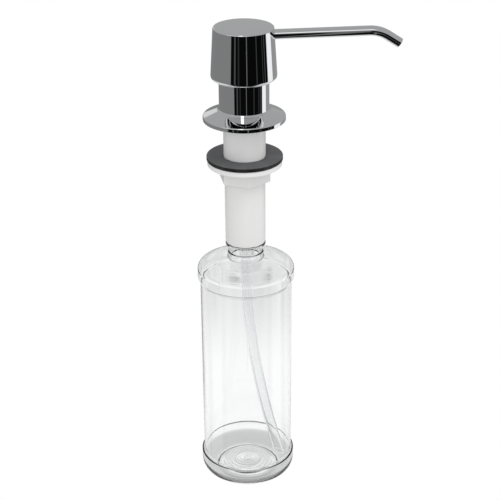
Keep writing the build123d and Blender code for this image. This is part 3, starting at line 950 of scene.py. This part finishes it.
class DISPENSER_OT_bottle(bpy.types.Operator):
    """Blown clear bottle: ringed neck, round shoulder, two bands and a pushed-up base"""

    bl_idname = "dispenser.bottle"
    bl_label = "Bottle"

    def execute(self, context):
        sizes, grid = context.scene.dispenser_bottle, context.scene.dispenser_mesh
        # heights, of the neck's two rings and then of the bands and the body below them
        base, neck_top = foot_of("bottle"), top_of("bottle")
        low_ring = -93.6 * MM
        band_top = low_ring - 8.6 * MM
        band_low = band_top - 8.6 * MM
        body_top = band_low - 2.0 * MM
        body_low = body_top - 131.4 * MM
        band_again = body_low - 1.4 * MM
        ring_top = -84.6 * MM
        ring_low = ring_top - 1.8 * MM
        throat = sizes.neck_radius - 0.5 * MM
        crown_r = sizes.body_radius - 6.7 * MM
        crown_z = low_ring - 4.0 * MM
        push_z = base + 0.65 * sizes.push_up
        foot = 21.5 * MM
        small, soft = 0.4 * MM, 0.6 * MM
        curved, wide = 1.8 * MM, 16.0 * MM  # roundings of the bands' edges and the shoulder
        outer = [
            (0.0, base + sizes.push_up),
            (2.0 * MM, base + sizes.push_up - 0.12 * MM),
            (2.2 * MM, base + sizes.push_up - 0.35 * MM, 0.15 * MM),
            (8.6 * MM, base + sizes.push_up - 1.02 * MM, 0.2 * MM),
            (8.9 * MM, base + sizes.push_up - 0.88 * MM, 0.2 * MM),
            (foot - 4.0 * MM, push_z, 3.0 * MM),
            (foot, base, 1.5 * MM),
            (sizes.band_radius, base, 8.5 * MM),
            (sizes.band_radius, band_again, 0.7 * MM),
            (sizes.body_radius, body_low, 0.7 * MM),
            (sizes.body_radius, body_top, curved),
            (sizes.band_radius, band_low, curved),
            (sizes.band_radius, band_top, 4.0 * MM),
            (crown_r, crown_z, wide),
            (throat + small, low_ring - 1.8 * MM, 1.2 * MM),
            (throat + 1.0 * MM, low_ring, small),
            (throat + 1.0 * MM, low_ring + 2.0 * MM, small),
            (throat, low_ring + 2.6 * MM, small),
            (throat, ring_low - small, small),
            (sizes.neck_radius + 1.7 * MM, ring_low, soft),
            (sizes.neck_radius + 1.7 * MM, ring_top, soft),
            (sizes.neck_radius, ring_top, 0.2 * MM),
            (sizes.neck_radius, neck_top, small),
            (sizes.neck_bore, neck_top, small),
        ]
        wall, floor = sizes.wall, sizes.floor
        inner_band = sizes.band_radius - wall
        inner_body = sizes.body_radius - wall
        inner = [
            (sizes.neck_bore, low_ring - 2.6 * MM, 1.9 * MM),
            (crown_r - wall / 2, crown_z - wall, wide),
            (inner_band, band_top - wall / 2, 4.0 * MM - wall),
            (inner_band, band_low, curved),
            (inner_body, body_top, curved),
            (inner_body, body_low, 0.7 * MM),
            (inner_band, band_again, 0.7 * MM),
            (inner_band, base + floor, 8.5 * MM - wall),
            (foot - wall, base + floor, 1.5 * MM),
            (foot - wall - 4.0 * MM, push_z + floor, 3.0 * MM),
            (0.0, base + floor + sizes.push_up),
        ]
        arc_steps = 13  # finer than the other pieces, within the most triangles a piece may have
        places, normals = outline(outer + inner, arc_steps, closed=False)
        # More columns stand close round the mould's parting line, which is finer than a column.
        seam = sizes.parting_turn
        near = np.array([-0.6, -0.35, -0.2, -0.1, 0.0, 0.1, 0.2, 0.35, 0.6]) * MM
        near /= sizes.body_radius
        even, room = full_turn(grid.columns), 0.02
        seams = np.concatenate([seam + near, seam + math.pi + near]) % (2 * math.pi)
        away = np.abs(np.angle(np.exp(1j * (even[:, None] - seams)))).min(1)
        around = np.sort(np.concatenate([even[(away > room) | (even == 0)], seams]))
        around = np.append(around[around < 2 * math.pi - 1e-9], 2 * math.pi)
        points, facing, _ = carried((places, normals), around)
        outside = np.arange(len(places)) < np.argmax(places[:, 1] > neck_top - 1e-6)
        # The parting line is a bell curve of the distance from it, on the outside.
        off = np.angle(np.exp(2j * (around - seam))) / 2 * places[:, :1]
        ridge = np.exp(-((off / sizes.parting_width) ** 2)) * sizes.parting_height
        ridge *= (outside & (places[:, 0] > 12 * MM) & (places[:, 1] > base + 1 * MM))[:, None]
        # The blown wall's thickness drifts inside: three slow waves round the bottle and along it,
        # which die out at the shoulder and the base.
        height = places[:, 1:] / MM
        drift = np.sin(3 * around + height / 19) + 0.7 * np.sin(7 * around - height / 31 + 1.0)
        drift = drift + 0.5 * np.sin(11 * around + height / 13 + 2.0)
        blown = np.clip((low_ring / MM - 8 - height) / 14, 0, 1)
        blown *= np.clip((height - base / MM - 14) / 14, 0, 1)
        drift *= blown * sizes.wall_variation / 2
        shift = np.where(outside[:, None], ridge - sizes.parting_height, drift)
        slope = np.gradient(shift, around, axis=1)
        points += facing * shift[..., None]
        points[places[:, 0] < WELD, :, :2] = 0.0  # the poles stay on the centre line
        tangent = np.stack([-np.sin(around), np.cos(around), np.zeros_like(around)], -1)
        reach = np.maximum(places[:, :1], 5 * MM)
        facing = unit(facing - tangent * (slope / reach)[..., None])
        bottle = skin("bottle_blown", (points, facing, None))
        fit(bottle, "bottle", "clear_plastic", "bottle")
        return {"FINISHED"}


class DISPENSER_OT_dip_tube(bpy.types.Operator):
    """Dip tube: leaves the pump straight, then bends gently to the bottle's lower corner"""

    bl_idname = "dispenser.dip_tube"
    bl_label = "Dip Tube"

    def execute(self, context):
        sizes = context.scene.dispenser_bottle
        columns, rows, arc_steps = 48, 88, 4
        floor = foot_of("bottle") + sizes.floor
        aside = sizes.body_radius - 7.2 * MM
        route = [(0.0, top_of("dip_tube")), (0.0, -120.0 * MM)]
        route += [(part * aside, floor + up * MM) for part, up in ((0.27, 80), (0.54, 46), (1, 4))]
        runs = np.diff(np.array(route), axis=0)
        sides = np.linalg.norm(runs, axis=1)
        heading = np.arctan2(runs[:, 1], runs[:, 0])
        half = np.abs(np.diff(heading)) / 2
        radii = 0.45 * np.minimum(sides[:-1], sides[1:]) / np.tan(half)
        path, whole = bent_line(route, radii)
        # the foot is cut on a slope: a plane that rises by the grade as it goes outwards
        grade = 0.35
        ahead = runs[-1] / sides[-1]
        drop = ahead[1] + grade * ahead[0]
        slant = -(ahead[0] - grade * ahead[1]) / drop
        end = whole + sizes.tube_radius / drop
        outer, inner = sizes.tube_radius, sizes.tube_radius - sizes.tube_wall
        stations = np.linspace(0, end, rows + 2)[1:-1]
        edge = 0.1 * MM
        profile = outline(
            [
                (inner, 0.0, edge),
                (outer, 0.0, edge),
                *[(outer, s) for s in stations],
                (outer, end, edge),
                (inner, end, edge),
                *[(inner, s) for s in stations[::-1]],
            ],
            arc_steps,
        )
        tube = skin("dip_tube_drawn", carried(profile, full_turn(columns), path, slant))
        fit(tube, "pump_insert", "frosted_tube", "dip_tube")
        return {"FINISHED"}


class DISPENSER_OT_spring(bpy.types.Operator):
    """Return spring: round wire wound in a helix whose end turns close up"""

    bl_idname = "dispenser.spring"
    bl_label = "Return Spring"

    def execute(self, context):
        low, high = foot_of("return_spring"), top_of("return_spring")
        wire = 0.5 * MM
        coil = half_width("return_spring") - wire
        turns, per_turn, rings = 8.0, 36, 12
        t = np.linspace(0, 1, int(turns * per_turn) + 1)
        # The wire's centre is coil times the cosine and sine of the spin, at a height that is the
        # running sum of the pace. The pace is slow over the end turns, where the coils lie close.
        slow, end_turns, quickening = 0.28, 0.7, 1.4
        leaving = np.clip((turns * t - end_turns) * quickening, 0, 1)
        arriving = np.clip((turns * (1 - t) - end_turns) * quickening, 0, 1)
        pace = slow + leaving * arriving
        climb = np.concatenate([[0], np.cumsum((pace[1:] + pace[:-1]) / 2)])
        z = low + wire + (high - low - 2 * wire) * climb / climb[-1]
        spin = 2 * math.pi * turns * t
        line = np.stack([coil * np.cos(spin), coil * np.sin(spin), z], -1)
        ahead = unit(np.gradient(line, axis=0))
        side = np.stack([np.cos(spin), np.sin(spin), np.zeros_like(spin)], -1)
        across = np.cross(ahead, side)
        ring = full_turn(rings)
        out = side[:, None] * np.cos(ring)[:, None] + across[:, None] * np.sin(ring)[:, None]
        points = line[:, None] + wire * out
        ends = []
        for station, way in ((0, -1), (-1, 1)):
            disc = np.stack([np.repeat(line[station][None], rings + 1, 0), points[station]])
            ends.append((disc, np.broadcast_to(way * ahead[station], disc.shape).copy(), None))
        coil_piece = skin("spring_coil", (points, out, None), *ends)
        fit(coil_piece, "pump_insert", "spring_steel", "return_spring")
        1 - way_down("pump_press") / (high - low)
        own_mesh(coil_piece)
        return {"FINISHED"}


class DISPENSER_OT_pump_finish(bpy.types.Operator):
    """Gives the pump's own pieces, the seals and the balls their finishes"""

    bl_idname = "dispenser.pump_finish"
    bl_label = "Pump Finishes"

    def execute(self, context):
        for row in frame["record"]["subparts"]:
            node = frame["nodes"][row["node"]]
            if not node.hide_render:
                node.data.materials.clear()
                node.data.materials.append(material_for(row["material_slot"]))
        return {"FINISHED"}


# ---------------------------------------------------------------- stage


RAYS = ("camera", "diffuse", "glossy", "transmission", "shadow", "volume_scatter")

# Upright panels that the chrome mirrors. Each has its brightness, its first and last bearing
# from the front, and the softness of its edges, in degrees.
PANELS = (
    (0.235, -200.0, -45.5, 1.0),
    (0.075, -33.5, -28.5, 0.8),
    (0.03, -20.0, -16.0, 2.0),
    (0.16, 9.0, 11.6, 0.5),
    (0.05, 44.0, 47.0, 1.0),
    (0.05, 68.0, 70.0, 0.5),
    (0.10, 77.0, 79.0, 0.5),
    (1.05, 90.0, 117.0, 1.5),
    (0.33, 118.0, 200.0, 1.5),
)

# Lamps overhead: brightness, then bearings and softness, then rises and softness, in degrees.
LAMPS = (
    (0.35, (-174.0, -158.0, 3.0), (4.0, 22.0, 2.0)),
    (1.6, (-26.0, -4.0, 1.0), (48.0, 78.0, 2.0)),
    (0.9, (-70.0, 22.0, 8.0), (31.0, 43.0, 2.0)),
)

# Darker panels that draw the edges of clear plastic in views from the sides.
EDGE_PANELS = ((60.0, 70.0), (-70.0, -60.0), (112.0, 122.0), (-122.0, -112.0))


def seen_only_by(thing, *rays):
    """Hides a stage object from every kind of ray but these."""
    for ray in RAYS:
        setattr(thing, f"visible_{ray}", ray in rays)


def dome_material(name, tone):
    """Light of a dome: its brightness is worked out from the direction of each place on it."""
    nodes = Nodes(name)
    x, y, z = nodes.parts(nodes.coordinates())
    front = math.degrees(bpy.context.scene.dispenser_studio.azimuth)
    bearing = x.turn_from(y * -1.0) * math.degrees(1) - front
    rise = z.turn_from(from_axis(x, y)) * math.degrees(1)
    light = nodes.make("ShaderNodeEmission", None, {"Color": tone(bearing, rise)})
    return nodes.finish(light)


def reflected_tone(bearing, rise):
    """Dark and pale panels that the chrome mirrors. Bearings are from the front, in degrees."""
    front = bearing.within(-62, 62, 12)
    walls = 0.003 + sum(level * bearing.within(*spread) for level, *spread in PANELS)
    beneath = rise.ramp(-23.0, -29.0) * (1 - front)
    walls = walls * (1 - beneath) + 0.80 * beneath
    above = 0.42
    for level, wide, high in LAMPS:
        above += level * bearing.within(*wide) * rise.within(*high)
    lifted = rise.ramp(2.0 + 10.0 * front, 9.0 + 9.0 * front)
    return walls * (1 - lifted) + above * lifted


def seen_through_tone(bearing, rise):
    """What shows through clear plastic: a pale backdrop, and darker panels for its edges."""
    sides = sum(bearing.within(first, last, 5) for first, last in EDGE_PANELS)
    broad = (bearing * math.radians(1) * 61.0).sine()
    narrow = (bearing * math.radians(1) * 143.0 + 1.0).sine()
    streaks = 0.5 + 0.28 * broad + 0.22 * narrow
    upper = rise.ramp(-34.5, -29.0)
    lower = rise.ramp(-37.3, -39.5)
    # two soft patches, straight behind, that show through the bottle's shoulder
    left = bearing.within(180.7, 181.5, 0.8) * rise.within(-28.2, -27.8, 0.7)
    right = bearing.within(177.5, 178.2, 0.8) * rise.within(-28.1, -27.7, 0.7)
    backdrop = 1.0 - upper * (0.13 + 0.17 * streaks) - 0.42 * lower - 0.9 * (left + right)
    return backdrop * (1 - 0.6 * sides) * (1 - 0.38 * rise.ramp(-44.0, -62.0)) + 0.02


def soft_tone(bearing, rise):
    """Light for the matt pieces: bright from above and in front, dimmer at the sides and below."""
    front = 1 - bearing.ramp(20, 150) - bearing.ramp(-20, -150)
    level = 0.47 + 0.42 * front
    return level + rise.ramp(10, 70) * (1.25 - level) - 0.2 * rise.ramp(-10, -70)


class DISPENSER_OT_stage(bpy.types.Operator):
    """Camera, pale floor, soft lights and the panels round the studio"""

    bl_idname = "dispenser.stage"
    bl_label = "Studio"

    def execute(self, context):
        scene, studio = context.scene, context.scene.dispenser_studio
        self.camera(scene, studio)
        self.world(scene)
        self.floor()
        self.dome("reflection_dome", 2.4, reflected_tone, "glossy")
        self.dome("backlight_dome", 2.5, seen_through_tone, "transmission")
        self.dome("soft_dome", 2.6, soft_tone, "diffuse")
        self.lamp("key_light", (0.42, -0.48, 0.95), 0.4, studio.key_power)
        scene.view_settings.view_transform = "Standard"
        return {"FINISHED"}

    def camera(self, scene, studio):
        turn, tip, roll = studio.yaw, studio.pitch, studio.roll
        level = np.array([math.sin(turn), math.cos(turn), 0.0])
        ahead = level * math.cos(tip) - np.array([0.0, 0.0, math.sin(tip)])
        right = np.array([math.cos(turn), -math.sin(turn), 0.0])
        up = np.cross(right, ahead)
        rolled = right * math.cos(roll) + up * math.sin(roll)
        lifted = up * math.cos(roll) - right * math.sin(roll)
        pose = Matrix.Identity(4)
        for column, axis in enumerate((rolled, lifted, -ahead)):
            for row in range(3):
                pose[row][column] = axis[row]
        pose.translation = (0.0, -studio.distance, studio.height)
        lens = bpy.data.cameras.new("studio_camera")
        lens.lens = studio.lens
        lens.sensor_width = 36.0
        lens.clip_start = 0.01
        camera = bpy.data.objects.new("studio_camera", lens)
        scene.collection.objects.link(camera)
        camera.matrix_world = Matrix.Rotation(studio.azimuth, 4, "Z") @ pose
        scene.camera = camera

    def world(self, scene):
        world = bpy.data.worlds.new("studio_white")
        world.use_nodes = True
        background = world.node_tree.nodes["Background"]
        background.inputs["Color"].default_value = WHITE
        background.inputs["Strength"].default_value = 1.0
        scene.world = world

    def floor(self):
        # low enough for the bottle to come down out of the shank without sinking into it
        level = CAD_BOX[0][2] - way_down("bottle_travel") - 1.0 * MM
        profile = outline([(2.0, level), (0.0, level)], 2, closed=False)
        floor = skin("studio_floor", carried(profile, full_turn(64)))
        nodes = Nodes("Pale floor")
        light = nodes.make("ShaderNodeEmission", None, {"Color": WHITE})
        clear = nodes.make("ShaderNodeBsdfTransparent")
        below = nodes.make("ShaderNodeNewGeometry", out="Backfacing")
        shown = nodes.make("ShaderNodeMixShader", None, {0: below, 1: light, 2: clear})
        floor.data.materials.append(nodes.finish(shown))
        seen_only_by(floor, "camera", "shadow", "volume_scatter")

    def dome(self, name, radius, tone, seen_by):
        lift = np.linspace(-math.pi / 2, math.pi / 2, 49)
        ball = np.stack([np.cos(lift), np.sin(lift)], 1)
        dome = skin(name, carried((ball * radius, -ball), full_turn(96)))
        dome.data.materials.append(dome_material(name, tone))
        seen_only_by(dome, seen_by)

    def lamp(self, name, place, size, power):
        light = bpy.data.lights.new(name, "AREA")
        light.shape = "DISK"
        light.size = size
        light.energy = power
        lamp = bpy.data.objects.new(name, light)
        bpy.context.scene.collection.objects.link(lamp)
        lamp.rotation_euler = (-Vector(place)).to_track_quat("-Z", "Y").to_euler()
        lamp.location = place
        seen_only_by(lamp, "diffuse", "shadow", "volume_scatter")


# ---------------------------------------------------------------- add-on


SETTINGS = {
    "dispenser_mesh": DispenserMesh,
    "dispenser_head": DispenserHead,
    "dispenser_mount": DispenserMount,
    "dispenser_bottle": DispenserBottle,
    "dispenser_finish": DispenserFinish,
    "dispenser_studio": DispenserStudio,
}

OPERATORS = (
    DISPENSER_OT_head_cap,
    DISPENSER_OT_spout,
    DISPENSER_OT_escutcheon,
    DISPENSER_OT_shank,
    DISPENSER_OT_washer,
    DISPENSER_OT_nut,
    DISPENSER_OT_bottle,
    DISPENSER_OT_dip_tube,
    DISPENSER_OT_spring,
    DISPENSER_OT_pump_finish,
    DISPENSER_OT_stage,
)


class DISPENSER_PT_panel(bpy.types.Panel):
    """Lists the dispenser's pieces and the studio"""

    bl_idname = "DISPENSER_PT_panel"
    bl_label = "Soap Dispenser"
    bl_space_type = "VIEW_3D"
    bl_region_type = "UI"
    bl_category = "Dispenser"

    def draw(self, context):
        for kind in OPERATORS:
            self.layout.operator(kind.bl_idname)
        for key in SETTINGS:
            group = getattr(context.scene, key)
            box = self.layout.box()
            box.label(text=type(group).__doc__)
            for field in type(group).__annotations__:
                box.prop(group, field)


CLASSES = (*SETTINGS.values(), *OPERATORS, DISPENSER_PT_panel)


def register():
    for kind in CLASSES:
        bpy.utils.register_class(kind)
    for key, kind in SETTINGS.items():
        setattr(bpy.types.Scene, key, PointerProperty(type=kind))


def unregister():
    for key in SETTINGS:
        delattr(bpy.types.Scene, key)
    for kind in reversed(CLASSES):
        bpy.utils.unregister_class(kind)


def main():
    register()
    for kind in OPERATORS:
        family, name = kind.bl_idname.split(".")
        getattr(getattr(bpy.ops, family), name)()


if __name__ == "__main__":
    main()
